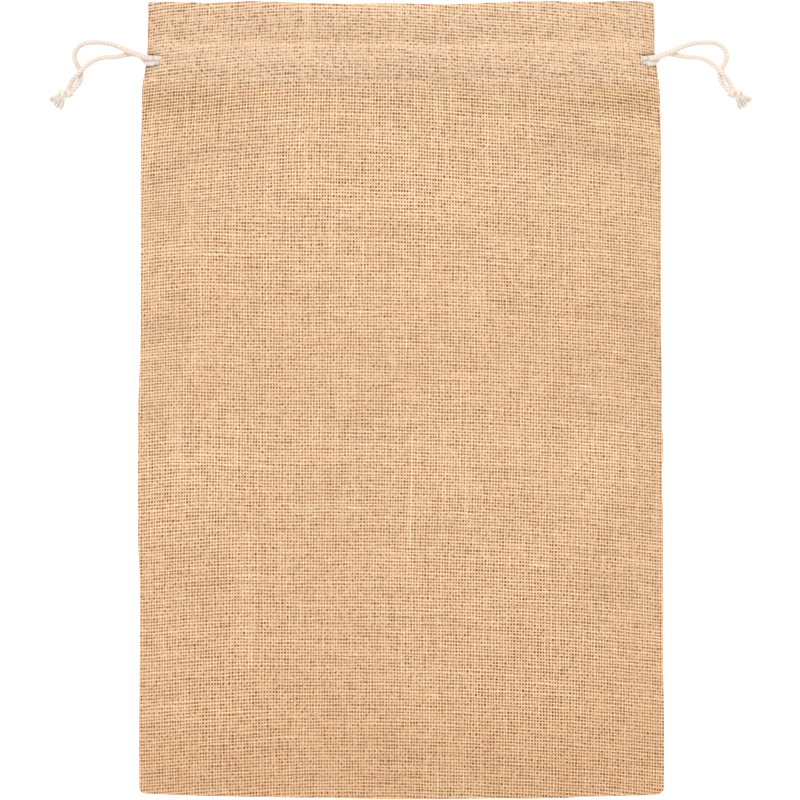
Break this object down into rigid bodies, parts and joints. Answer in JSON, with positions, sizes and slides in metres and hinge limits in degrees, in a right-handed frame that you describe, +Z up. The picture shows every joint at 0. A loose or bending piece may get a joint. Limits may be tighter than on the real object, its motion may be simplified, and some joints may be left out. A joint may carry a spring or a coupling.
{
  "type": "drawstring sack",
  "caption": "Rectangular open-weave burlap sack lying flat, with a folded mouth hem, a sewn channel and a cotton drawcord knotted outside each side.",
  "frame": {"origin": "middle of the cloth's footprint, on the table: under the centre of the two panels", "axes": "+X to the right along the foot, +Y along the sack from the foot to the mouth, +Z up out of the front panel"},
  "size_m": [0.4064, 0.4602, 0.0158],
  "materials": {
    "jute_cloth": "matt natural jute, plain open weave",
    "cotton_cord": "matt off-white three-ply cotton cord"
  },
  "bodies": {
    "root": {"front_panel": "jute_cloth", "back_panel": "jute_cloth", "drawcord_left": "cotton_cord", "drawcord_right": "cotton_cord", "knot_left": "cotton_cord", "knot_right": "cotton_cord"}
  },
  "joints": []
}
